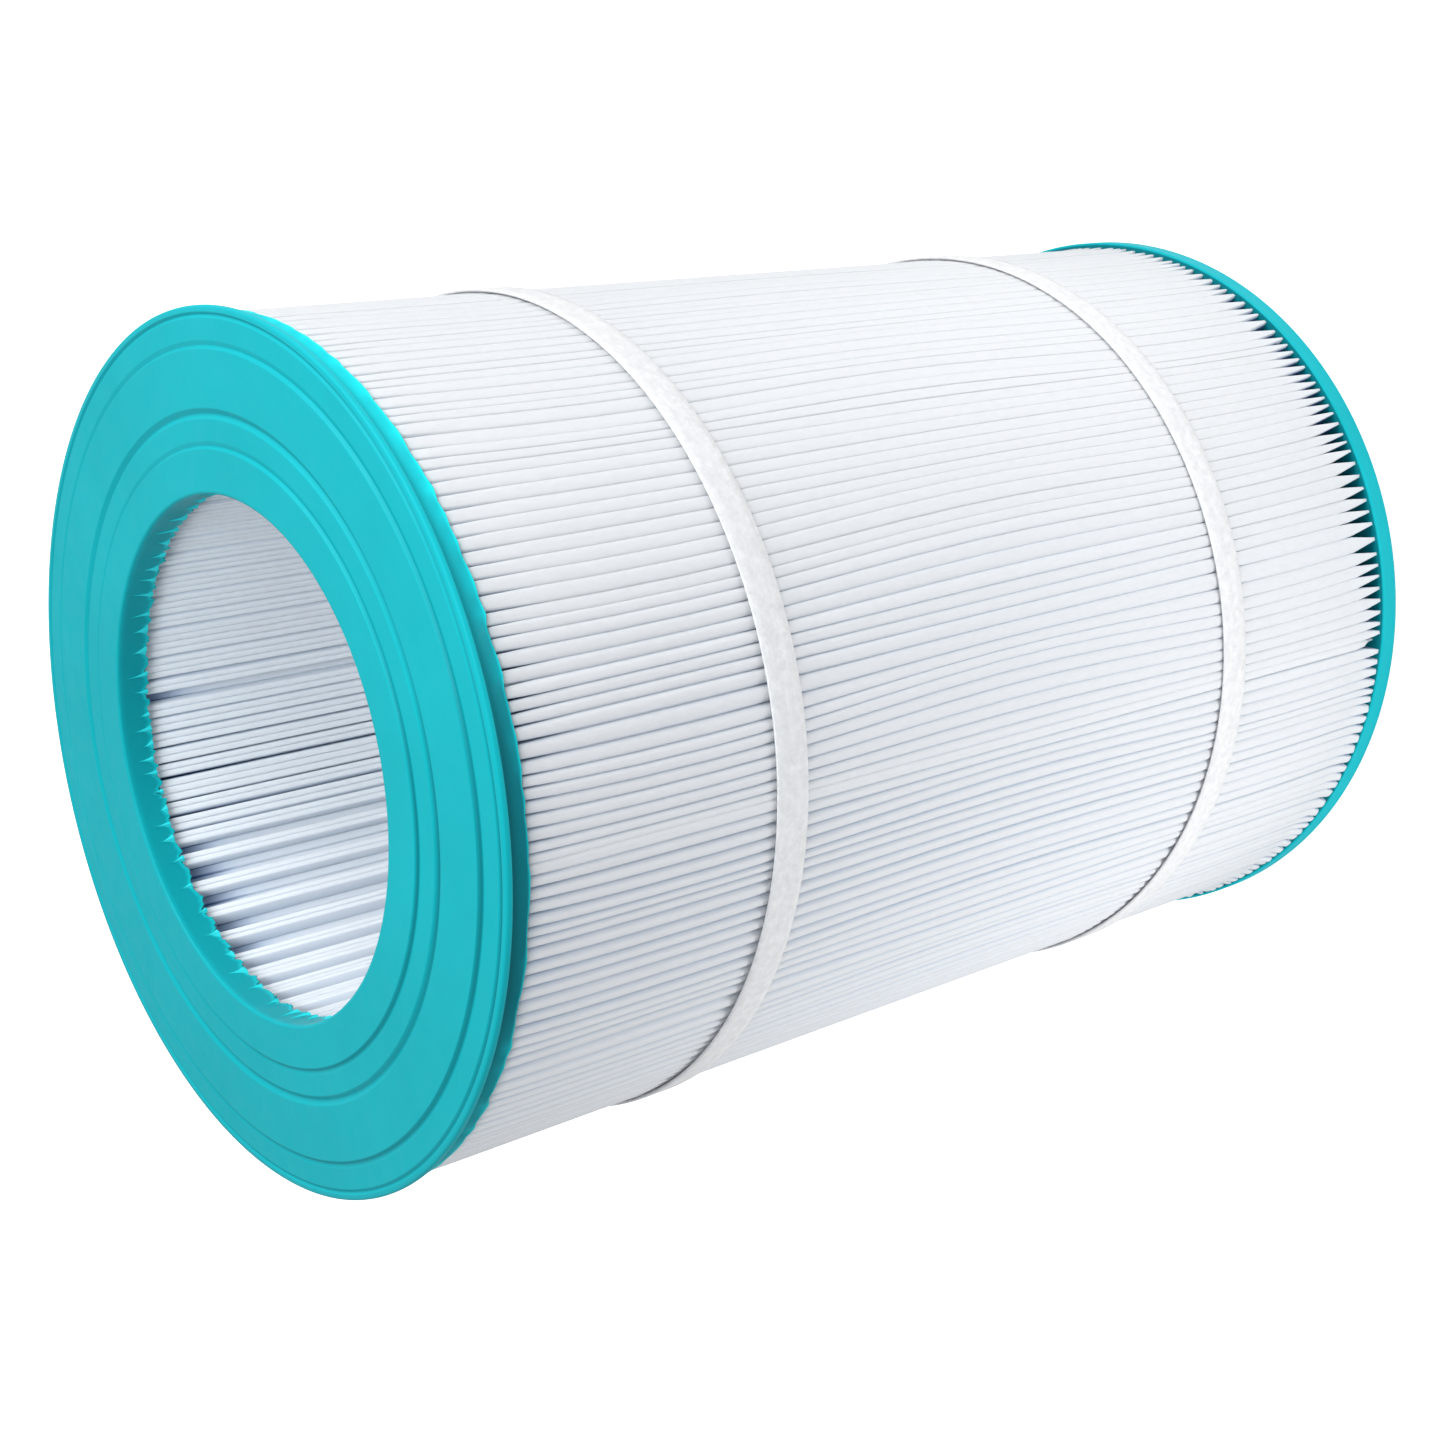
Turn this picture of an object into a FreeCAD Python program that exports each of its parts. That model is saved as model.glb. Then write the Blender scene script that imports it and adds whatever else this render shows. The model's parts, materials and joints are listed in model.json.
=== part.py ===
"""Pleated pool and spa filter cartridge with moulded open end caps.

The cartridge stands on its rear end cap.  Its axis is +Z, the origin is the centre of the
rear cap's outer face, and the front end cap, with its seating lip, is at the top.
All lengths are in millimetres and all angles in degrees.
"""
import FreeCAD, Part

import math
import os
import re

import Sketcher
from FreeCAD import Placement, Rotation, Vector

DIMENSIONS = {
    # whole cartridge
    "overall_length": 374.7,
    "rim_radius": 126.2,
    "hole_radius": 75.4,
    # front cap: a thin seating lip over a narrower waist
    "front_cap_thickness": 9.6,
    "lip_thickness": 3.4,
    "waist_radius": 124.8,
    # rear cap: one plain rim
    "rear_cap_thickness": 8.6,
    # lands and groove of both outer faces, from the hole outwards
    "inner_land_radius": 88.1,
    "groove_radius": 97.2,
    "groove_half_width": 1.1,
    "groove_depth": 0.7,
    "outer_land_radius": 115.2,
    "land_step": 0.6,
    "step_run": 0.5,
    "rim_round": 1.0,
    "hole_round": 0.8,
    # pleated media
    "pleat_count": 204,
    "pleat_outer_radius": 124.2,
    "pleat_inner_radius": 77.2,
    "media_thickness": 0.6,
    "crown_half_width": 0.9,
    "root_half_width": 0.85,
    "potting_depth": 6.0,
    "seam_depth": 12.0,
    "seam_recess": 2.4,
    "seam_azimuth": -109.0,
    # reinforcing bands, and the hot melt under them
    "band_width": 11.1,
    "band_thickness": 0.8,
    "front_band_inset": 94.9,
    "rear_band_inset": 89.6,
    "lap_half_length": 16.0,
    "lap_taper": 2.0,
    "lap_azimuth": 62.0,
    "adhesive_thickness": 0.3,
    "adhesive_width": 8.0,
}

Z_AXIS = Vector(0, 0, 1)
ORIGIN_POINT = (-1, 1)
START, END, CENTRE = 1, 2, 3

doc = FreeCAD.newDocument("filter_cartridge")
sheet = doc.addObject("Spreadsheet::Sheet", "Sizes")


def fill_sheet():
    """Names in column A, plain numbers with the same names as aliases in column B."""
    for row, (alias, value) in enumerate(DIMENSIONS.items(), start=1):
        sheet.set("A%d" % row, alias)
        sheet.set("B%d" % row, str(value))
        sheet.setAlias("B%d" % row, alias)
    doc.recompute()


def size(alias):
    return float(getattr(sheet, alias))


def bound(formula):
    """The formula with the sheet's name before every alias."""
    return re.sub(r"[a-z_]{3,}", lambda word: "Sizes." + word.group()
                  if word.group() in DIMENSIONS else word.group(), formula)


# ---------------------------------------------------------------- sketch helpers
def new_sketch(body, name, plane_role):
    sketch = body.newObject("Sketcher::SketchObject", name)
    plane = next(item for item in body.Origin.OriginFeatures if item.Role == plane_role)
    sketch.AttachmentSupport = (plane, [""])
    sketch.MapMode = "FlatFace"
    return sketch


def drive(sketch, kind, name, formula, *references):
    """Add one named dimension to a sketch and bind it to the sheet."""
    value = sketch.evalExpression(bound(formula))
    sketch.addConstraint(Sketcher.Constraint(kind, *references, float(value)))
    sketch.renameConstraint(sketch.ConstraintCount - 1, name)
    sketch.setExpression("Constraints." + name, bound(formula))


def add_polygon(sketch, corners):
    """A closed outline whose corners are pairs of formulas in the sheet's aliases."""
    places = [Vector(*(float(sketch.evalExpression(bound(part))) for part in corner), 0)
              for corner in corners]
    count = len(corners)
    for index in range(count):
        line = Part.LineSegment(places[index], places[(index + 1) % count])
        sketch.addGeometry(line)
    for index, (across, up) in enumerate(corners):
        sketch.addConstraint(Sketcher.Constraint("Coincident", index, END, (index + 1) % count, START))
        drive(sketch, "DistanceX", "across_%d" % index, across, *ORIGIN_POINT, index, START)
        drive(sketch, "DistanceY", "up_%d" % index, up, *ORIGIN_POINT, index, START)


def add_circle(sketch, name, radius_formula):
    radius = float(sketch.evalExpression(bound(radius_formula)))
    index = sketch.addGeometry(Part.Circle(Vector(), Z_AXIS, radius))
    sketch.addConstraint(Sketcher.Constraint("Coincident", index, CENTRE, *ORIGIN_POINT))
    drive(sketch, "Radius", name, radius_formula, index)


def add_lap_arc(sketch, name, radius_formula, reach_formula):
    """An arc about the origin that crosses the X axis and reaches as far each side of it."""
    radius = float(sketch.evalExpression(bound(radius_formula)))
    reach = math.asin(float(sketch.evalExpression(bound(reach_formula))) / radius)
    circle = Part.Circle(Vector(), Z_AXIS, radius)
    index = sketch.addGeometry(Part.ArcOfCircle(circle, -reach, reach))
    sketch.addConstraint(Sketcher.Constraint("Coincident", index, CENTRE, *ORIGIN_POINT))
    drive(sketch, "Radius", name, radius_formula, index)
    drive(sketch, "DistanceY", name + "_low", "-(%s)" % reach_formula, *ORIGIN_POINT, index, START)
    drive(sketch, "DistanceY", name + "_high", reach_formula, *ORIGIN_POINT, index, END)
    return index


def circle_edges(shape, radius, height):
    """Names of the whole circles about the axis with this radius and height."""
    names = []
    for number, edge in enumerate(shape.Edges, start=1):
        curve = edge.Curve
        if isinstance(curve, Part.Circle) and abs(curve.Radius - radius) < 0.01 \
                and abs(curve.Center.z - height) < 0.01:
            names.append("Edge%d" % number)
    if not names:
        raise ValueError("no circle of radius %.2f at height %.2f" % (radius, height))
    return names


def round_edges(body, name, feature, circles, radius_alias):
    """Fillet the circles given as (radius, height) pairs of numbers."""
    doc.recompute()
    edges = [edge for radius, height in circles
             for edge in circle_edges(feature.Shape, radius, height)]
    fillet = body.newObject("PartDesign::Fillet", name)
    fillet.Base = (feature, edges)
    fillet.setExpression("Radius", bound(radius_alias))
    return fillet


# ---------------------------------------------------------------- end caps
def outer_face():
    """Outer face of a cap, from the hole's edge to the rim's, as radius and height."""
    groove_floor = "land_step + groove_depth"
    return [
        ("hole_radius", "0"),
        ("inner_land_radius", "0"),
        ("inner_land_radius + step_run", "land_step"),
        ("groove_radius - groove_half_width", "land_step"),
        ("groove_radius", groove_floor),
        ("groove_radius + groove_half_width", "land_step"),
        ("outer_land_radius - step_run", "land_step"),
        ("outer_land_radius", "2 * land_step"),
        ("rim_radius", "2 * land_step"),
    ]


def cap_body(name, side_and_back):
    """A revolved cap whose outer face looks down, with its rim and hole edges rounded."""
    body = doc.addObject("PartDesign::Body", name)
    sketch = new_sketch(body, name + "_section", "XZ_Plane")
    add_polygon(sketch, outer_face() + side_and_back)
    turned = body.newObject("PartDesign::Revolution", name + "_turned")
    turned.Profile = sketch
    turned.ReferenceAxis = (sketch, ["V_Axis"])
    turned.Angle = 360
    rim = round_edges(body, name + "_rim_round", turned,
                      [(size("rim_radius"), 2 * size("land_step"))], "rim_round")
    hole = round_edges(body, name + "_hole_round", rim, [(size("hole_radius"), 0)], "hole_round")
    body.Tip = hole
    return body


def make_front_cap():
    body = cap_body("front_cap_blank", [
        ("rim_radius", "lip_thickness"),
        ("waist_radius", "lip_thickness + (rim_radius - waist_radius) / 2"),
        ("waist_radius", "front_cap_thickness"),
        ("hole_radius", "front_cap_thickness"),
    ])
    body.Placement = Placement(Vector(0, 0, size("overall_length")), Rotation(Vector(1, 0, 0), 180))
    body.setExpression("Placement.Base.z", bound("overall_length"))
    return body


def make_rear_cap():
    return cap_body("rear_cap_blank", [
        ("rim_radius", "rear_cap_thickness"),
        ("hole_radius", "rear_cap_thickness"),
    ])


def pot(blank, pleats, name):
    """Cast the cap round the pleat ends, so that it fits them face to face."""
    cap = doc.addObject("Part::Cut", name)
    cap.Base = blank
    cap.Tool = pleats
    cap.Label = name
    return cap


# ---------------------------------------------------------------- pleated media
def polar(radius, angle):
    return Vector(radius * math.cos(angle), radius * math.sin(angle), 0)


def pleat_outline():
    """One open sheet folded into a ring; its two ends meet inside the seam's pleat."""
    count = int(size("pleat_count"))
    step = 2 * math.pi / count
    first = math.radians(size("seam_azimuth"))
    outer, inner = size("pleat_outer_radius"), size("pleat_inner_radius")
    thickness = size("media_thickness")
    crown, root = size("crown_half_width"), size("root_half_width")
    crown_top = crown / outer
    crown_below = (crown - thickness) / (outer - thickness)
    root_above = (root - thickness) / (inner + thickness)
    root_bottom = root / inner
    valleys = [first + (number + 0.5) * step for number in range(count)]
    crowns = [first + number * step for number in range(1, count)]

    outside = [polar(outer, first + crown_top)]
    inside = [polar(outer, first + (crown - thickness) / outer)]
    for valley, crown_angle in zip(valleys, crowns + [None]):
        outside += [polar(inner + thickness, valley - root_above),
                    polar(inner + thickness, valley + root_above)]
        inside += [polar(inner, valley - root_bottom), polar(inner, valley + root_bottom)]
        if crown_angle is not None:
            outside += [polar(outer, crown_angle - crown_top), polar(outer, crown_angle + crown_top)]
            inside += [polar(outer - thickness, crown_angle - crown_below),
                       polar(outer - thickness, crown_angle + crown_below)]
    outside.append(polar(outer, first - crown_top))
    inside.append(polar(outer, first - (crown - thickness) / outer))
    return outside + inside[::-1]


def seam_outline():
    """The glue line between the sheet's two ends, from just under the crown inwards."""
    first = math.radians(size("seam_azimuth"))
    outer, inner = size("pleat_outer_radius"), size("pleat_inner_radius")
    half_gap = size("crown_half_width") - size("media_thickness")
    half_step = math.pi / size("pleat_count")
    edge = polar(outer, half_gap / outer)
    root = polar(inner, half_step - size("root_half_width") / inner)
    shallow = edge + (root - edge) * (size("seam_recess") / (outer - inner))
    deep = edge + (root - edge) * (size("seam_depth") / (outer - inner))
    corners = [shallow, Vector(shallow.x, -shallow.y, 0), Vector(deep.x, -deep.y, 0), deep]
    turn = Rotation(Z_AXIS, math.degrees(first))
    return [turn.multVec(corner) for corner in corners]


def make_prism(name, corners):
    """A straight prism over the outline, as tall as the media, standing in both caps."""
    low = size("rear_cap_thickness") - size("potting_depth")
    high = size("overall_length") - size("front_cap_thickness") + size("potting_depth")
    face = Part.Face(Part.makePolygon(corners + corners[:1]))
    if face.normalAt(0, 0).z < 0:
        face.reverse()
    prism = doc.addObject("Part::Feature", name)
    prism.Shape = face.extrude(Vector(0, 0, high - low))
    prism.Placement = Placement(Vector(0, 0, low), Rotation())
    prism.Label = name
    return prism


# ---------------------------------------------------------------- bands
def ring_pad(body, name, inner_formula, outer_formula, width_alias):
    sketch = new_sketch(body, name + "_section", "XY_Plane")
    add_circle(sketch, "inside", inner_formula)
    add_circle(sketch, "outside", outer_formula)
    pad = body.newObject("PartDesign::Pad", name)
    pad.Profile = sketch
    pad.Midplane = True
    pad.setExpression("Length", bound(width_alias))
    body.Tip = pad
    return pad


def place_on_axis(body, height_formula, azimuth=0.0):
    body.Placement = Placement(Vector(), Rotation(Z_AXIS, azimuth))
    body.setExpression("Placement.Base.z", bound(height_formula))


def make_band(name, height_formula):
    """A flat strap round the pleats, its two ends lapped and heat-welded."""
    body = doc.addObject("PartDesign::Body", name)
    under = "pleat_outer_radius + adhesive_thickness"
    face = under + " + band_thickness"
    ring_pad(body, name + "_strap", under, face, "band_width")

    sketch = new_sketch(body, name + "_lap_section", "XY_Plane")
    low = add_lap_arc(sketch, "lap_inside", face, "lap_half_length")
    high = add_lap_arc(sketch, "lap_outside", face + " + band_thickness", "lap_half_length - lap_taper")
    for point in (START, END):
        ends = [sketch.getPoint(arc, point) for arc in (low, high)]
        line = sketch.addGeometry(Part.LineSegment(*ends))
        sketch.addConstraint(Sketcher.Constraint("Coincident", line, START, low, point))
        sketch.addConstraint(Sketcher.Constraint("Coincident", line, END, high, point))
    lap = body.newObject("PartDesign::Pad", name + "_lap")
    lap.Profile = sketch
    lap.Midplane = True
    lap.setExpression("Length", bound("band_width"))
    body.Tip = lap
    body.Label = name
    place_on_axis(body, height_formula, size("lap_azimuth"))
    return body


def make_adhesive(name, height_formula):
    """The hot melt between the pleat crowns and a band."""
    body = doc.addObject("PartDesign::Body", name)
    ring_pad(body, name + "_bead", "pleat_outer_radius",
             "pleat_outer_radius + adhesive_thickness", "adhesive_width")
    body.Label = name
    place_on_axis(body, height_formula)
    return body


# ---------------------------------------------------------------- assembly
def build():
    fill_sheet()
    media = make_prism("pleated_media", pleat_outline())
    seam = make_prism("media_seam_bond", seam_outline())
    pleats = doc.addObject("Part::Compound", "pleat_pack")
    pleats.Links = [media, seam]

    front_height = "overall_length - front_band_inset"
    rear_height = "rear_band_inset"
    return [
        pot(make_front_cap(), pleats, "front_end_cap"),
        pot(make_rear_cap(), pleats, "rear_end_cap"),
        media,
        seam,
        make_band("front_band", front_height),
        make_band("rear_band", rear_height),
        make_adhesive("front_band_adhesive", front_height),
        make_adhesive("rear_band_adhesive", rear_height),
    ]


def check(subparts):
    """Stop before anything is written if a feature failed or a sub-part isn't sound."""
    for item in doc.Objects:
        if "Invalid" in item.State or "Error" in item.State:
            raise RuntimeError("%s failed: %s" % (item.Label, item.State))
    for item in subparts:
        shape = item.Shape
        if shape.isNull() or not shape.isValid() or len(shape.Solids) != 1:
            raise RuntimeError("%s is not one valid solid" % item.Label)


def write(subparts):
    os.makedirs("parts", exist_ok=True)
    for item in subparts:
        item.Shape.exportStep("parts/%s.step" % item.Label)
        box = item.Shape.BoundBox
        print("%-22s volume %10.0f mm3  z %.1f to %.1f"
              % (item.Label, item.Shape.Volume, box.ZMin, box.ZMax))


subparts = build()
doc.recompute()
check(subparts)
write(subparts)
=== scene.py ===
import json
import math

import bmesh
import bpy
import numpy as np
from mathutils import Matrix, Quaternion, Vector

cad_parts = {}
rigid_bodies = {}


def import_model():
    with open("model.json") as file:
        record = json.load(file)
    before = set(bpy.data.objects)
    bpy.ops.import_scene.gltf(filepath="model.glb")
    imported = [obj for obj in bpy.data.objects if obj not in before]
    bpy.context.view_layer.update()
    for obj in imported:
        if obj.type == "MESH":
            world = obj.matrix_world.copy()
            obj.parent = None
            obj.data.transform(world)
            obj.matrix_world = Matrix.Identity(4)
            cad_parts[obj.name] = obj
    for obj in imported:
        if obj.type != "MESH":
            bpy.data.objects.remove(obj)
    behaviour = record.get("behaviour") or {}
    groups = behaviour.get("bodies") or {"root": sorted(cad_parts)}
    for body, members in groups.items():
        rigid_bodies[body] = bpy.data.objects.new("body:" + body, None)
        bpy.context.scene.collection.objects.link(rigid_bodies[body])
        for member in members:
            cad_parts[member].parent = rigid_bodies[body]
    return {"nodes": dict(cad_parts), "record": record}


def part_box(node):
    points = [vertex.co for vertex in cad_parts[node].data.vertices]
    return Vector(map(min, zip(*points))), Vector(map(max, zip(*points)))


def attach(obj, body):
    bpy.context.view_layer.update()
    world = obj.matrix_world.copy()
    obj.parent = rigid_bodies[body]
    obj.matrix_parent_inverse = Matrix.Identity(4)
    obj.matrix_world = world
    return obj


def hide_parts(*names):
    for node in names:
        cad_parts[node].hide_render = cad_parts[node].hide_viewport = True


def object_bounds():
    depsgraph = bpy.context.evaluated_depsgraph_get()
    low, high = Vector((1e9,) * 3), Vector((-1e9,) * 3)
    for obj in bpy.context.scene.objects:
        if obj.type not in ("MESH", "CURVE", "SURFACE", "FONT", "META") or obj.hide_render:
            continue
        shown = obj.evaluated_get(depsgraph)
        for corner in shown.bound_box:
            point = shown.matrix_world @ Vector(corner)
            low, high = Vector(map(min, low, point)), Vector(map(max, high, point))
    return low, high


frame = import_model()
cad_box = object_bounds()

MM = 0.001
TURN = 2 * math.pi
rng = np.random.default_rng(75)

# ---------------------------------------------------------------- places read from the frame
LENGTH = cad_box[1].z
REAR_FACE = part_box("rear_end_cap")[1].z            # where the pleats leave the rear cap
FRONT_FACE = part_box("front_end_cap")[0].z          # where they enter the front cap
MEDIA_LOW, MEDIA_HIGH = (corner.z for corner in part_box("pleated_media"))
BANDS = {name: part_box(name) for name in ("rear_band", "front_band")}
SEAM = Vector(sum(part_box("media_seam_bond"), Vector()) / 2)
SEAM_AZIMUTH = math.atan2(SEAM.y, SEAM.x)
HOLE = next(mount["dims"]["r_mm"] for mount in frame["record"]["mounts"]
            if mount["name"] == "front_bore")      # radius, in millimetres like the sizes below

# ---------------------------------------------------------------- sizes of the looks, in millimetres
PLEATS = 204
STEP = TURN / PLEATS
RIM = 126.2                     # radius of both caps
FRONT_CAP, REAR_CAP = 9.6, 8.6  # thicknesses
CROWN = 124.2                   # radius of the pleat crowns under the bands
FOLD = 77.4                     # radius of the foremost inner folds
PINCH = 4.5                     # how far behind the inner folds their walls close together
CRACK_PINCH = 1.5               # how much farther they do so at a crack between bunches
MIDDLE = 104.0                  # radius half way down a pleat
BELOW_EDGE = 2.2                # how far under a crown its walls start
CROWN_FILL = 0.997              # share of the room between crowns that the pleats take
BAND_UNDER, BAND_THICK = 124.5, 0.8
LAP_AZIMUTH = math.radians(62)
LAP_HALF = 16.0
CROWDED = 4                     # the crown round which the pleats stand closest at the front cap
CROWDING, CROWDED_REACH = 0.21, 16          # how strongly, and over how many pleats each way
LONG_TEETH = math.radians(-70)  # the azimuth at which the teeth at the rear cap are longest
SEAM_HALF = 0.9                 # half the thickness of the two sheet ends and the glue between them

# Inner folds stand in bunches: (folds side by side, folds sunk behind them), from BUNCH_START on.
# These are listed one by one. The rest of the ring is filled at random.
BUNCH_START = math.radians(14.3)
BUNCHES = [(2, 0), (4, 0), (2, 0), (3, 0), (2, 0), (2, 0), (3, 0), (3, 0), (2, 0), (4, 0), (3, 0),
           (2, 1), (2, 0), (2, 0), (2, 0), (2, 0), (2, 0), (3, 0), (2, 0), (2, 0), (2, 1), (2, 2),
           (2, 2), (2, 2), (2, 2), (2, 1), (3, 1), (3, 1), (4, 1)]


# ---------------------------------------------------------------- camera, light and stage
LENS, SENSOR = 55.47, 36.0
CAMERA_PLACE = (0.0, -0.5696, 0.6601)
AIM = (-0.0200, 0.0, 0.2028)
ROLL = math.radians(-103.35)


def make_camera():
    """Looks down on the lipped cap, and lies on its side, so that the axis runs right to left."""
    data = bpy.data.cameras.new("camera")
    data.lens = LENS
    data.sensor_width = SENSOR
    camera = bpy.data.objects.new("camera", data)
    bpy.context.scene.collection.objects.link(camera)
    camera.location = CAMERA_PLACE
    level = (Vector(AIM) - camera.location).to_track_quat("-Z", "Y")
    camera.rotation_mode = "QUATERNION"
    camera.rotation_quaternion = level @ Quaternion((0, 0, 1), ROLL)
    bpy.context.scene.camera = camera


def add_softbox(name, toward, distance, size, watts, colour=(1.0, 1.0, 1.0), only=None):
    data = bpy.data.lights.new(name, "AREA")
    data.shape = "SQUARE"
    data.size = size
    data.energy = watts
    data.color = colour
    lamp = bpy.data.objects.new(name, data)
    bpy.context.scene.collection.objects.link(lamp)
    centre = Vector((0, 0, LENGTH / 2))
    lamp.location = centre + Vector(toward).normalized() * distance
    lamp.rotation_mode = "QUATERNION"
    lamp.rotation_quaternion = (centre - lamp.location).to_track_quat("-Z", "Y")
    lamp.visible_camera = False
    if only is not None:
        lamp.light_linking.receiver_collection = only


def make_light():
    world = bpy.data.worlds.new("studio")
    world.use_nodes = True
    background = world.node_tree.nodes["Background"]
    background.inputs["Color"].default_value = (0.94, 0.97, 1.0, 1)
    background.inputs["Strength"].default_value = 0.60
    bpy.context.scene.world = world
    add_softbox("key", (0.71, -0.26, 0.65), 1.2, 0.8, 9.4)
    bpy.context.scene.view_settings.view_transform = "Standard"


def lit_only(name, pieces):
    """A collection of the only pieces that some fill lights reach."""
    lit = bpy.data.collections.new(name)
    for piece in pieces:
        lit.objects.link(piece)
    return lit


def add_fills(white_pieces, rear_caps, front_caps):
    """Close fill lights, each kept to the white pieces or to one cap."""
    white = lit_only("lit_media", white_pieces)
    rear = lit_only("lit_rear", white_pieces + rear_caps)
    teal = lit_only("lit_caps", front_caps)
    plain, cool, bluish, pale = (1, 1, 1), (0.96, 0.975, 1.0), (0.86, 0.94, 1.0), (0.90, 0.96, 1.0)
    add_softbox("front_fill", (0.04, -0.68, 0.73), 1.7, 0.8, 5.4, cool, white)
    add_softbox("rear_fill", (-0.05, -0.34, -0.12), 0.38, 0.14, 0.25, plain, rear)
    add_softbox("top_fill", (0.28, -0.20, -0.12), 0.38, 0.14, 0.17, plain, rear)
    add_softbox("low_fill", (-0.30, -0.16, -0.09), 0.40, 0.14, 0.50, plain, rear)
    add_softbox("bore_fill", (0.02, -0.11, 0.45), 0.47, 0.16, 1.35, bluish, white)
    add_softbox("deep_fill", (0.03, -0.04, 0.01), 0.05, 0.06, 0.08, pale, white)
    add_softbox("cap_fill", (0.12, -0.42, 0.43), 0.61, 0.2, 0.66, plain, teal)


def make_floor():
    bpy.ops.mesh.primitive_circle_add(vertices=96, radius=6, fill_type="NGON")
    floor = bpy.context.object
    floor.name = "floor"
    material = bpy.data.materials.new("floor_white")
    material.use_nodes = True
    shader = material.node_tree.nodes["Principled BSDF"]
    shader.inputs["Base Color"].default_value = (0.85, 0.85, 0.85, 1)
    shader.inputs["Roughness"].default_value = 0.9
    shader.inputs["Emission Color"].default_value = (1, 1, 1, 1)
    shader.inputs["Emission Strength"].default_value = 0.9
    floor.data.materials.append(material)
    lit_by_floor = bpy.data.collections.new("lit_by_floor")
    lit_by_floor.objects.link(floor)
    floor.light_linking.receiver_collection = lit_by_floor


# ---------------------------------------------------------------- meshes
def grid_object(name, points, wrap_rows=False, wrap_columns=False, **attributes):
    """A quad mesh over points[row, column, xyz], in millimetres, with per-point attributes."""
    rows, columns = points.shape[:2]
    row = np.arange(rows if wrap_rows else rows - 1)[:, None]
    column = np.arange(columns if wrap_columns else columns - 1)[None, :]
    here, above = row * columns, (row + 1) % rows * columns
    beside = (column + 1) % columns
    quads = np.stack([here + column, here + beside, above + beside, above + column], axis=-1)
    mesh = bpy.data.meshes.new(name)
    mesh.from_pydata((points.reshape(-1, 3) * MM).tolist(), [], quads.reshape(-1, 4).tolist())
    mesh.polygons.foreach_set("use_smooth", [True] * len(mesh.polygons))
    for label, values in attributes.items():
        layer = mesh.attributes.new(label, "FLOAT", "POINT")
        layer.data.foreach_set("value", np.asarray(values, np.float32).ravel())
    piece = bpy.data.objects.new(name, mesh)
    bpy.context.scene.collection.objects.link(piece)
    return piece


def face_outwards(piece):
    shell = bmesh.new()
    shell.from_mesh(piece.data)
    bmesh.ops.recalc_face_normals(shell, faces=shell.faces)
    shell.to_mesh(piece.data)
    shell.free()


def cylinder_points(radius, azimuth, height):
    """Points from radius, azimuth and height, broadcast together."""
    radius, azimuth, height = np.broadcast_arrays(radius, azimuth, height)
    return np.stack([radius * np.cos(azimuth), radius * np.sin(azimuth), height], axis=-1)


def fade(value, start, end):
    """0 before start, 1 after end, smooth between."""
    share = np.clip((value - start) / (end - start), 0, 1)
    return share * share * (3 - 2 * share)


def ring_noise(count, longest, shortest, waves=14):
    """Smooth noise round a ring of count pleats, about -1 to 1, of waves that long in pleats."""
    where = np.arange(count) / count * TURN
    total = np.zeros(count)
    for _ in range(waves):
        turns = round(count / rng.uniform(shortest, longest))
        total += np.sin(turns * where + rng.uniform(0, TURN))
    return total / math.sqrt(waves / 2)


# ---------------------------------------------------------------- inner folds
def inner_folds():
    """Azimuth, radius and half width of each inner fold, and the middle of each bunch."""
    bunches = list(BUNCHES)
    left = PLEATS - sum(map(sum, bunches))
    while left > 0:
        bunch = (int(rng.integers(2, 4)), int(rng.integers(0, 2)))
        bunch = bunch if sum(bunch) <= left else (left, 0)
        bunches.append(bunch)
        left -= sum(bunch)
    azimuth, radius, half, middles = [], [], [], []
    start = BUNCH_START
    for side_by_side, sunk in bunches:
        end = start + (side_by_side + sunk) * STEP
        crack = rng.uniform(0.5, 1.2)
        if sunk:
            pitch = rng.uniform(1.75, 1.95)
        else:
            pitch = (end - start) * FOLD / side_by_side - crack / side_by_side
        for number in range(side_by_side):
            azimuth.append(start + (number + 0.5) * pitch / FOLD)
            radius.append(FOLD + rng.uniform(0, 0.4))
            half.append(pitch / 2 - 0.03)
        low = start + side_by_side * pitch / FOLD
        middles.append((start + low) / 2)
        deep = rng.uniform(3.8, 5.2)
        for number in range(sunk):
            azimuth.append(low + (number + 0.5) * (end - low) / sunk)
            radius.append(FOLD + deep + rng.uniform(0, 0.4))
            half.append(0.48 * (end - low) / sunk * FOLD)
        start = end
    return np.array(azimuth), np.array(radius), np.array(half), np.array(middles)


FOLDS = inner_folds()


def folds_from_seam():
    """Azimuth, radius and half width of the inner folds, in order from the seam on."""
    azimuth, radius, half, _ = FOLDS
    away = (azimuth - SEAM_AZIMUTH - STEP / 2 + math.pi) % TURN - math.pi
    first = np.argmin(np.abs(away))
    azimuth = np.unwrap(np.roll(azimuth, -first))
    azimuth += TURN * np.round((SEAM_AZIMUTH - azimuth[0]) / TURN)
    return azimuth, np.roll(radius, -first), np.roll(half, -first)


# ---------------------------------------------------------------- pleated media
def media_rows():
    """Heights of the mesh rows, closer together near the caps and the bands' edges."""
    front, rear = FRONT_FACE / MM, REAR_FACE / MM
    rows = [MEDIA_LOW / MM] + [rear + up for up in (0.5, 3, 7, 12, 18, 28, 50)]
    for low, high in BANDS.values():
        rows += [low.z / MM - 5, low.z / MM, high.z / MM, high.z / MM + 5]
    rear_top = BANDS["rear_band"][1].z / MM + 5
    front_low = BANDS["front_band"][0].z / MM - 5
    rows += list(np.linspace(rear_top, front_low, 8)[1:-1])
    rows += [front - down for down in (60, 36, 20, 10, 4, 0.3)] + [front + 0.8, MEDIA_HIGH / MM]
    return np.array(sorted(rows))


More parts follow.
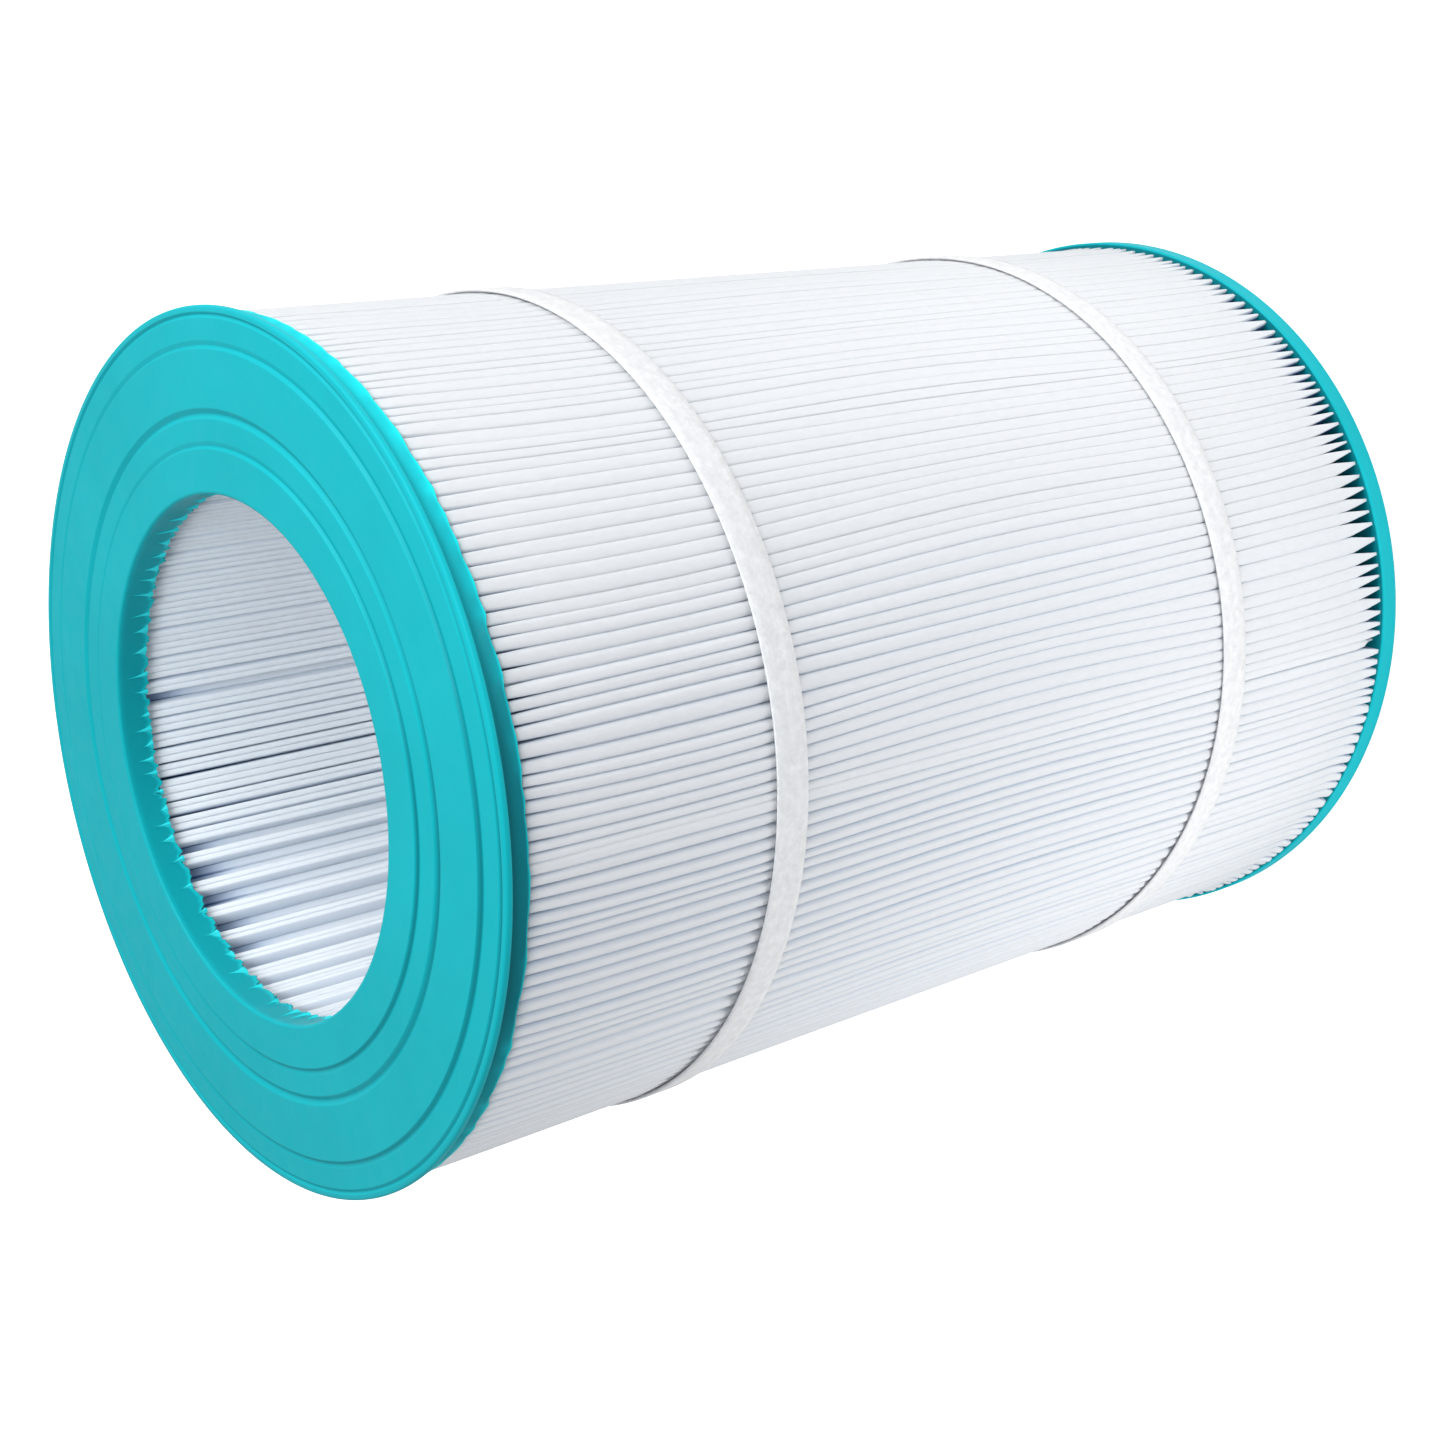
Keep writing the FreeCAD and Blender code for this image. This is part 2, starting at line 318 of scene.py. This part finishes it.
def pleat_wander(rows):
    """How far each crown stands from its even place, in pleats, at each row."""
    steady = 0.55 * ring_noise(PLEATS, 60, 18) + 0.15 * ring_noise(PLEATS, 8, 3)
    lean = 0.30 * ring_noise(PLEATS, 40, 12)
    bend = 0.18 * ring_noise(PLEATS, 16, 5)
    share = (rows - rows[0]) / (rows[-1] - rows[0])
    return steady + lean * (share[:, None] - 0.5) * 2 + bend * np.sin(3 * math.pi * share)[:, None]


def crown_places(rows):
    """Azimuth of each crown at each row, and the room from it to the next, in millimetres."""
    number = np.arange(PLEATS)
    wander = pleat_wander(rows)
    aside = (number - CROWDED + PLEATS / 2) % PLEATS - PLEATS / 2
    up = (rows[:, None] - rows[0]) / (rows[-1] - rows[0])
    wander = wander - CROWDING * aside * np.exp(-(aside / CROWDED_REACH) ** 2) * up ** 0.8
    wander -= wander[:, :1]
    azimuth = SEAM_AZIMUTH + (number + wander) * STEP
    room = np.diff(np.concatenate([azimuth, azimuth[:, :1] + TURN], axis=1), axis=1) * CROWN
    return azimuth, room


# Across a crown: (share of its half width, share of its drop, depth, which sets its painted shade).
CROWN_SHAPE = [(-1, 1, 0.60), (-0.78, 0.44, 0.26), (-0.36, 0.08, 0),
               (0.36, 0.08, 0), (0.78, 0.44, 0.26), (1, 1, 0.60)]
# Across an inner fold: (share of its half width, drop, depth, which sets its painted shade).
ROOT_SHAPE = [(-1, 0.24, 0.34), (-0.6, 0.04, 0.12), (0.6, 0.04, 0.12), (1, 0.24, 0.34)]
# Half the seam's pleat, from its crown inwards: (radius, distance from its middle, depth, which sets
# its painted shade).
FIN = [(124.0, 0.0, 0.15), (124.0, 0.5, 0), (123.85, 1.2, 0), (123.3, 1.78, 0.35), (120.9, 1.65, 1),
       (112.2, SEAM_HALF, 1)]


def media_points():
    """One open sheet, pleated: points[row, along the sheet], and how deep each point lies.

    Depth is 0 on the crowns, 1 down in the folds, and more in the crevices beside the caps; it sets
    the painted shade that the material puts there.
    """
    rows = media_rows()
    z = rows[:, None]
    front, rear = FRONT_FACE / MM, REAR_FACE / MM
    bands = [((low.z + high.z) / 2 / MM) for low, high in BANDS.values()]
    near_band = sum(np.exp(-((z - middle) / 10) ** 4) for middle in bands)
    number = np.arange(PLEATS)
    crown_azimuth, room = crown_places(rows)

    towards = -np.cos(SEAM_AZIMUTH + number * STEP)             # 1 on the -X side, -1 on the +X side
    low_side = fade(towards, 0.15, 0.60)
    relief = 0.3 + 0.7 * fade(towards, -0.30, 0.05) + 0.6 * fade(towards, 0.20, 0.50)

    # pleats narrow to teeth at the rear cap, and a little at the front cap
    round_from = (SEAM_AZIMUTH + number * STEP - LONG_TEETH + math.pi) % TURN - math.pi
    tooth_length = 4.5 + 8.5 * np.exp(-(round_from / 0.65) ** 2) + rng.uniform(-1.5, 4, PLEATS)
    tooth_length = np.maximum(tooth_length * (1 - 0.40 * low_side), 2.5)
    rear_pinch = np.clip(1 - (z - rear) / tooth_length, 0, 1)
    front_pinch = np.clip(1 - (front - z) / rng.uniform(10, 24, PLEATS), 0, 1)
    narrow = ((1 - (0.80 - 0.42 * low_side) * rear_pinch) * (1 - 0.20 * front_pinch ** 1.3)
              * (1 - 0.05 * near_band))
    before_half = np.roll(room, 1, axis=1) / 2 * CROWN_FILL * narrow
    after_half = room / 2 * CROWN_FILL * narrow

    # radius of each crown, with its lean and its roundness
    top = (CROWN - 0.2 + 0.15 * near_band + (0.5 + 1.0 * low_side) * rear_pinch
           - 0.25 * fade(front_pinch, 0, 1))
    top = top - 5 * fade(z, front - 0.3, front + 0.8)           # out of sight inside the front cap
    top = top + 0.07 * ring_noise(PLEATS, 6, 2) * (1 - near_band)
    tilt = 0.11 * ring_noise(PLEATS, 5, 2)
    roundness = (0.07 + 0.10 * fade(z[:, 0], rear + 60, rear + 130)
                 + 0.26 * fade(z[:, 0], rear + 170, front - 40))
    roundness = roundness + 0.20 * near_band[:, 0]

    radius, azimuth, depth, recess = [], [], [], []

    def add(r, a, d, sunk=False):
        radius.append(np.broadcast_to(r, (len(rows),)))
        azimuth.append(np.broadcast_to(a, (len(rows),)))
        depth.append(d)
        recess.append(sunk)

    # the seam's own pleat ends short of the rear cap
    notch = fade(-z[:, 0], -rear - 9, -rear - 1)
    tooth = narrow[:, 0] * (1 - 0.8 * notch)
    sink = np.minimum(top[:, 0] - CROWN + 0.2, 0.15) - 1.9 * notch
    for r, out, deep in FIN:
        add(r + sink, crown_azimuth[:, 0] + out * tooth / r, deep)

    fold_azimuth, fold_radius, fold_half = folds_from_seam()
    pinch_azimuth = (fold_azimuth[:-1] + fold_azimuth[1:]) / 2
    crack = np.diff(fold_azimuth) * FOLD - fold_half[:-1] - fold_half[1:] > 0.4
    pinch_radius = np.maximum(fold_radius[:-1], fold_radius[1:]) + PINCH + CRACK_PINCH * crack
    # depth at the pinches sets their painted shade, more at a crack between bunches
    pinch_depth = 0.9 + 0.35 * crack
    apart = 0.0008                                      # half the angle left between pinched walls
    for fold in range(PLEATS):
        crown = fold + 1
        root = fold_radius[fold]
        # sunk folds get a little more painted shade
        sunk = min(0.20, (root - FOLD) / 20)
        lower = fold_azimuth[fold] - fold_half[fold] / root
        upper = fold_azimuth[fold] + fold_half[fold] / root
        if fold:
            add(pinch_radius[fold - 1], pinch_azimuth[fold - 1] + apart, pinch_depth[fold - 1])
        else:
            add(MIDDLE, azimuth[-1] + (lower - azimuth[-1]) * 0.45, 1)
        for reach, fall, deep in ROOT_SHAPE:
            add(root + fall, fold_azimuth[fold] + reach * fold_half[fold] / root,
                deep + sunk, sunk > 0.1)
        if crown < PLEATS:
            r, a = top[:, crown], crown_azimuth[:, crown]
            add(pinch_radius[fold], pinch_azimuth[fold] - apart, pinch_depth[fold])
            add(r - BELOW_EDGE, a - before_half[:, crown] / r, 1)
            for reach, fall, deep in CROWN_SHAPE:
                half = before_half[:, crown] if reach < 0 else after_half[:, crown]
                drop = roundness * relief[crown] * (half + 0.6)
                add(r - fall * drop + tilt[crown] * relief[crown] * reach, a + reach * half / r,
                    deep * relief[crown])
            add(r - BELOW_EDGE, a + after_half[:, crown] / r, 1)
    last = crown_azimuth[:, 0] + TURN
    add(MIDDLE, upper + (last - SEAM_HALF / MIDDLE - upper) * 0.55, 1)
    for r, out, deep in FIN[::-1]:
        add(r + sink, last - out * tooth / r, deep)
    radius, azimuth, depth = np.array(radius).T, np.array(azimuth).T, np.array(depth)[None, :]
    depth = painted_shade_depth(radius, z, depth, np.array(recess)[None, :])
    return cylinder_points(radius, azimuth, z), depth


def painted_shade_depth(radius, z, depth, recess):
    """Depth, which sets the painted shade, made greater beside the caps, and less on the crowns of
    the rear half.
    """
    front, rear = FRONT_FACE / MM, REAR_FACE / MM
    in_front = (fade(z, front - 45, front) * (radius < MIDDLE)
                + 0.1 * fade(z, front - 30, front) * (radius > MIDDLE))
    depth = depth * (1 - 0.5 * fade(-z, -rear - 190, -rear - 60) * (radius > 122.4))
    at_rear = fade(-z, -rear - 15, -rear - 1) * (radius > MIDDLE - 1)
    depth = depth * (1 + depth * (0.9 * in_front + 1.4 * at_rear))
    # painted shade deepened in sunk folds near the front cap
    return depth + 1.3 * recess * fade(z, front - 26, front - 3)


def make_media(material):
    points, depth = media_points()
    # the depth attribute sets the painted shade of the media
    media = grid_object("media_sheet", points, depth=depth)
    media.data.materials.append(material)
    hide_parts("pleated_media")
    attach(media, "root")


# ---------------------------------------------------------------- end caps
def rounded_section(corners, steps=4):
    """A closed section through (radius, depth, rounding) corners, with a point beside each round."""
    section = []
    for index, (radius, depth, rounding) in enumerate(corners):
        here = np.array((radius, depth))
        back = np.array(corners[index - 1][:2]) - here
        on = np.array(corners[(index + 1) % len(corners)][:2]) - here
        back_length, on_length = np.linalg.norm(back), np.linalg.norm(on)
        back, on = back / back_length, on / on_length
        turn = math.pi - math.acos(np.clip(back @ on, -1, 1))
        reach = min(rounding * math.tan(turn / 2), 0.45 * back_length, 0.45 * on_length)
        a, b = here + back * reach, here + on * reach
        if reach + 0.8 < back_length / 2:
            section.append(a + back * 0.3)
        for share in np.linspace(0, 1, steps + 1):
            section.append((1 - share) ** 2 * a + 2 * share * (1 - share) * here + share ** 2 * b)
        if reach + 0.8 < on_length / 2:
            section.append(b + on * 0.3)
    return np.array(section)


def divide_walls(section, radius, spacing):
    """Adds points up the straight wall at that radius."""
    out = []
    for a, b in zip(section, np.roll(section, -1, axis=0)):
        out.append(a)
        if abs(a[0] - radius) < 0.05 and abs(b[0] - radius) < 0.05:
            parts = int(abs(b[1] - a[1]) / spacing)
            out += [a + (b - a) * part / (parts + 1) for part in range(1, parts + 1)]
    return np.array(out)


# Outlines of the caps from the hole outwards: (radius, depth under the outer face, rounding).
INNER_STEP, GROOVE, OUTER_STEP = 88.35, 97.1, 115.4
OUTER_FACE = [(HOLE, 0.0, 0.8), (87.8, 0.0, 0.3), (INNER_STEP, 1.0, 0.3), (89.7, 0.6, 0.8),
              (95.9, 0.6, 0.5), (GROOVE, 1.7, 0.6), (98.7, 0.6, 0.6), (114.7, 0.6, 0.3),
              (OUTER_STEP, 1.65, 0.3), (116.8, 1.2, 0.8)]
FRONT_SIDE = [(122.9, 1.2, 0.2), (123.7, 1.9, 0.3), (124.4, 1.2, 0.3), (RIM, 1.3, 0.8),
              (RIM, 3.1, 0.5), (122.6, 3.8, 0.4), (123.4, 6.0, 0.6), (124.9, 9.3, 0.5),
              (HOLE, FRONT_CAP, 0.4)]
REAR_SIDE = [(RIM, 1.2, 1.0), (RIM, REAR_CAP, 0.6), (HOLE, REAR_CAP, 0.4)]
SHADOW_SIDE_AZIMUTH = math.radians(-109)        # the side of the caps turned away from the light, where the steps get the most painted shade
WALL_SPACING = 1.2                       # between mesh rows up the wall of the hole


def below_front(depth):
    """Height of a point that lies that deep under the front cap's outer face."""
    return LENGTH / MM - depth


def above_rear(depth):
    """Height of a point that lies that deep behind the rear cap's outer face."""
    return depth


def cap_shade(side, radius, depth, even_depth, turns):
    """How much painted shade each point of a cap gets, or painted highlight where it is below 0."""
    flange = side[-1][1]
    aside = (turns - SHADOW_SIDE_AZIMUTH + math.pi) % TURN - math.pi
    # painted shade, strongest on the side of the caps turned away from the light
    shadow_side = 0.12 + 0.88 * np.exp(-(aside / 0.62) ** 2)
    # painted shade on the bore wall, with a painted highlight along its ragged edge
    wall = 0.34 * fade(even_depth, 0.5, 2.5) - 0.75 * fade(even_depth, flange - 1.6, flange - 0.4)
    shade = np.zeros_like(radius)
    shade += wall * (radius < HOLE + 0.3)
    # painted shade in the feet of the face's steps and groove
    for foot in (INNER_STEP, GROOVE, OUTER_STEP):
        shade += 0.8 * shadow_side * fade(-np.abs(radius - foot), -1.0, -0.1) * (depth > 0.3) * (depth < 2.2)
    if side is FRONT_SIDE:
        # painted shadow of the lip on the undercut, darkest on the side away from the light, and a
        # painted highlight along the media's edge
        under = fade(depth, 2.6, 4.0) * (radius > 120)
        shade += (0.75 * shadow_side - 0.40) * under - 0.9 * fade(depth, 8.0, 9.3) * under
        # painted shade in the crease beside the lip
        shade += 0.9 * shadow_side * fade(depth, 1.25, 1.9) * (radius > 122.8) * (radius < 124.6)
    else:
        # painted shade on the rear flange between the teeth
        shade += 0.9 * fade(depth, 8.0, 8.6) * (radius > 110) * (radius < 125.6)
    return shade


def make_cap(name, node, side, material, height_of):
    section = divide_walls(rounded_section(OUTER_FACE + side, 3), HOLE, WALL_SPACING)
    turns = np.arange(PLEATS * 4) / (PLEATS * 4) * TURN
    radius = section[:, 0][:, None] + 0 * turns
    even_depth = section[:, 1][:, None] + 0 * turns
    flange = side[-1][1]
    ragged = crest_wave(turns) + 0.35 * rng.standard_normal(len(turns))
    depth = even_depth - 1.1 * ragged * fade(even_depth, flange - 4, flange) * (radius < HOLE + 0.6)
    wave = rng.standard_normal(PLEATS + 1)
    wavy = 0.3 * np.interp(turns, np.arange(PLEATS + 1) * TURN / PLEATS, wave)
    depth = depth + wavy * fade(depth, 7, 9) * (radius > 124) * (side is FRONT_SIDE)
    # painted shade and painted highlight for the cap material
    shade = cap_shade(side, radius, depth, even_depth, turns)
    cap = grid_object(name, cylinder_points(radius, turns, height_of(depth)), True, True, shade=shade)
    face_outwards(cap)
    cap.data.materials.append(material)
    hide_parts(node)
    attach(cap, "root")


def crest_wave(turns):
    """1 at the middle of a bunch of inner folds, -1 half way to the next."""
    middles = np.sort(FOLDS[3] % TURN)
    middles = np.concatenate([middles[-1:] - TURN, middles, middles[:1] + TURN])
    place = np.interp(turns, middles, np.arange(len(middles)))
    return np.abs((place % 1) - 0.5) * 4 - 1


def make_tongues(name, material, depth_of_edge, height_of):
    """Small tongues of resin that crept up the bore wall, one at each bunch of inner folds."""
    points, faces = [], []
    for azimuth in FOLDS[3]:
        length, wide, lean = rng.uniform(2.5, 7.0), rng.uniform(0.9, 1.9), rng.uniform(-0.9, 0.9)
        hang = rng.uniform(-0.6, 0.6)
        shares = np.linspace(0.02, 1, 7)[:, None]
        side = np.array([-1, 0, 1])[None, :]
        lift = np.where(side == 0, 0.10 + 0.45 * shares ** 0.8, -0.12)
        place = azimuth + (side * wide * shares ** 1.5 + lean * (1 - shares)) / HOLE
        depth = depth_of_edge + hang - length * (1 - shares) + 0 * side
        first = len(points) * 3
        points.extend(cylinder_points(HOLE - lift, place, height_of(depth)))
        for row in range(6):
            here = first + row * 3
            faces += [(here + k, here + (k + 1) % 3, here + 3 + (k + 1) % 3, here + 3 + k)
                      for k in range(3)]
        faces += [(first, first + 2, first + 1), (first + 18, first + 19, first + 20)]
    mesh = bpy.data.meshes.new(name)
    mesh.from_pydata((np.array(points).reshape(-1, 3) * MM).tolist(), [], faces)
    tongues = bpy.data.objects.new(name, mesh)
    bpy.context.scene.collection.objects.link(tongues)
    face_outwards(tongues)
    tongues.data.materials.append(material)
    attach(tongues, "root")


# ---------------------------------------------------------------- bands
def make_band(name, node, material):
    low, high = BANDS[node]
    bottom, top = low.z / MM, high.z / MM
    lap = LAP_HALF / BAND_UNDER
    along = np.linspace(LAP_AZIMUTH - lap, LAP_AZIMUTH + lap + TURN, 900)
    lift = BAND_THICK * 1.02 * fade(along, LAP_AZIMUTH + TURN - lap - 0.05, LAP_AZIMUTH + TURN - lap)
    under = BAND_UNDER + lift
    width, thick, r = top - bottom, BAND_THICK, 0.28
    outline = [(r, 0), (width - r, 0), (width, r), (width, thick - r), (width - r, thick),
               (width * 0.75, thick + 0.03), (width * 0.5, thick), (width * 0.25, thick + 0.03),
               (r, thick), (0, thick - r), (0, r)]
    points = np.stack([cylinder_points(under + out, along, bottom + up)
                       for up, out in outline], axis=0)
    band = grid_object(name, points, wrap_rows=True)
    face_outwards(band)
    band.data.materials.append(material)
    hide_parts(node)
    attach(band, "root")


# ---------------------------------------------------------------- materials
class Nodes:
    """Short calls for building a material's nodes."""

    def __init__(self, name):
        self.material = bpy.data.materials.new(name)
        self.material.use_nodes = True
        self.tree = self.material.node_tree
        self.shader = self.tree.nodes["Principled BSDF"]

    def new(self, kind, **settings):
        node = self.tree.nodes.new("ShaderNode" + kind)
        for key, value in settings.items():
            setattr(node, key, value)
        return node

    def link(self, out, into):
        self.tree.links.new(out, into)

    def place(self, stretch=(1, 1, 1)):
        """Object coordinates, stretched."""
        coordinates = self.new("TexCoord")
        mapping = self.new("Mapping")
        mapping.inputs["Scale"].default_value = stretch
        self.link(coordinates.outputs["Object"], mapping.inputs["Vector"])
        return mapping.outputs["Vector"]

    def noise(self, scale, detail=4.0, roughness=0.55, stretch=(1, 1, 1)):
        node = self.new("TexNoise")
        node.inputs["Scale"].default_value = scale
        node.inputs["Detail"].default_value = detail
        node.inputs["Roughness"].default_value = roughness
        self.link(self.place(stretch), node.inputs["Vector"])
        return node.outputs["Fac"]

    def mix(self, share, low, high):
        """Colours low and high mixed by share, a socket or a number."""
        node = self.new("Mix", data_type="RGBA")
        for index, value in ((0, share), (6, low), (7, high)):
            if isinstance(value, bpy.types.NodeSocket):
                self.link(value, node.inputs[index])
            else:
                node.inputs[index].default_value = value
        return node.outputs[2]

    def fit(self, value, low, high, out_low=0.0, out_high=1.0):
        node = self.new("MapRange")
        for index, number in ((1, low), (2, high), (3, out_low), (4, out_high)):
            node.inputs[index].default_value = number
        self.link(value, node.inputs[0])
        return node.outputs[0]

    def bump(self, height, distance, strength=1.0):
        node = self.new("Bump")
        node.inputs["Distance"].default_value = distance
        node.inputs["Strength"].default_value = strength
        self.link(height, node.inputs["Height"])
        self.link(node.outputs["Normal"], self.shader.inputs["Normal"])


def polyurethane(name, low, high):
    """Moulded resin between two colours, with painted shade where shade is above 0 and a painted
    highlight where it is below 0.
    """
    n = Nodes(name)
    cloud = n.fit(n.noise(28, 3), 0.3, 0.7)
    base = n.mix(cloud, low, high)
    shade = n.new("Attribute", attribute_name="shade")
    # painted shade: toward dark teal where shade is above 0
    base = n.mix(n.fit(shade.outputs["Fac"], 0, 1, 0, 0.75), base, (0.001, 0.090, 0.120, 1))
    # painted highlight: toward bright teal where shade is below 0
    base = n.mix(n.fit(shade.outputs["Fac"], 0, -1, 0, 1), base, (0.010, 0.800, 0.820, 1))
    n.link(base, n.shader.inputs["Base Color"])
    n.link(n.fit(n.noise(160, 2), 0.3, 0.7, 0.38, 0.50), n.shader.inputs["Roughness"])
    n.shader.inputs["Specular IOR Level"].default_value = 0.12
    n.bump(n.noise(420, 3), 0.0001, 0.35)
    return n.material


def spun_polyester(name, lit, deep, painted_crevice_shade, stretch, through_share):
    """Felted fibre: its own lit colour on the crests, bluish painted shade deep in the folds, darker
    navy painted shade in the crevices beside the caps.
    """
    n = Nodes(name)
    fibre = n.noise(900, 5, 0.6, stretch)
    speckle = n.fit(fibre, 0.35, 0.65)
    surface = n.mix(speckle, [c * 0.965 for c in lit] + [1], list(lit) + [1])
    depth = n.new("Attribute", attribute_name="depth")
    # painted shade: bluish where depth rises toward 1
    base = n.mix(n.fit(depth.outputs["Fac"], 0.05, 1.0), surface, list(deep) + [1])
    # darker painted shade, navy, in the crevices beside the caps
    base = n.mix(n.fit(depth.outputs["Fac"], 0.95, 2.0), base, list(painted_crevice_shade) + [1])
    n.link(base, n.shader.inputs["Base Color"])
    n.shader.inputs["Roughness"].default_value = 0.75
    n.shader.inputs["Specular IOR Level"].default_value = 0.15
    n.bump(fibre, 0.0002, 0.4)
    through = n.new("BsdfTranslucent")
    n.link(base, through.inputs["Color"])
    both = n.new("MixShader")
    both.inputs["Fac"].default_value = through_share
    n.link(n.shader.outputs["BSDF"], both.inputs[1])
    n.link(through.outputs["BSDF"], both.inputs[2])
    n.link(both.outputs["Shader"], n.tree.nodes["Material Output"].inputs["Surface"])
    return n.material


def strap_polyester():
    """Pressed band: long faint streaks round the barrel under a mottled felt."""
    n = Nodes("band_white")
    felt = n.noise(420, 5, 0.65)
    streak = n.noise(2600, 2, 0.5, (0.02, 0.02, 1))
    base = n.mix(n.fit(felt, 0.3, 0.7), (0.60, 0.60, 0.605, 1), (0.75, 0.75, 0.75, 1))
    base = n.mix(n.fit(streak, 0.35, 0.65, 0, 0.35), base, (0.60, 0.605, 0.615, 1))
    n.link(base, n.shader.inputs["Base Color"])
    n.shader.inputs["Roughness"].default_value = 0.8
    n.shader.inputs["Specular IOR Level"].default_value = 0.15
    n.bump(felt, 0.0003, 0.5)
    return n.material


def hot_melt():
    n = Nodes("glue_clear")
    base = n.mix(n.noise(300, 3), (0.80, 0.80, 0.80, 1), (0.90, 0.90, 0.90, 1))
    n.link(base, n.shader.inputs["Base Color"])
    n.shader.inputs["Roughness"].default_value = 0.35
    n.bump(n.noise(500, 3), 0.0002, 0.6)
    return n.material


# ---------------------------------------------------------------- build
make_camera()
make_light()
make_floor()

teal = polyurethane("cap_teal", (0.003, 0.425, 0.480, 1), (0.004, 0.460, 0.520, 1))
# a lighter teal for the tongues: painted highlight where they catch the light, partly the paler tone
# of thin resin over the white media
highlight_teal = polyurethane("cap_teal_painted_highlight", (0.02, 0.72, 0.77, 1), (0.04, 0.80, 0.84, 1))
# deep and the crevice colour are painted shade, mixed in by the depth attribute
media_white = spun_polyester("media_white", lit=(0.91, 0.92, 0.935), deep=(0.69, 0.765, 0.87),
                             painted_crevice_shade=(0.06, 0.14, 0.32), stretch=(1, 1, 0.25), through_share=0.30)
band_white = strap_polyester()
glue = hot_melt()

make_media(media_white)
make_cap("front_cap_cast", "front_end_cap", FRONT_SIDE, teal, below_front)
make_cap("rear_cap_cast", "rear_end_cap", REAR_SIDE, teal, above_rear)
make_tongues("front_bore_tongues", highlight_teal, FRONT_CAP, below_front)
make_tongues("rear_bore_tongues", highlight_teal, REAR_CAP, above_rear)
make_band("front_strap", "front_band", band_white)
make_band("rear_strap", "rear_band", band_white)
glue_lines = [frame["nodes"][node]
              for node in ("media_seam_bond", "front_band_adhesive", "rear_band_adhesive")]
for piece in glue_lines:
    piece.data.materials.clear()
    piece.data.materials.append(glue)
parts = bpy.data.objects
add_fills([parts["media_sheet"], parts["front_strap"], parts["rear_strap"]] + glue_lines,
          [parts["rear_cap_cast"]], [parts["front_cap_cast"], parts["front_bore_tongues"]])
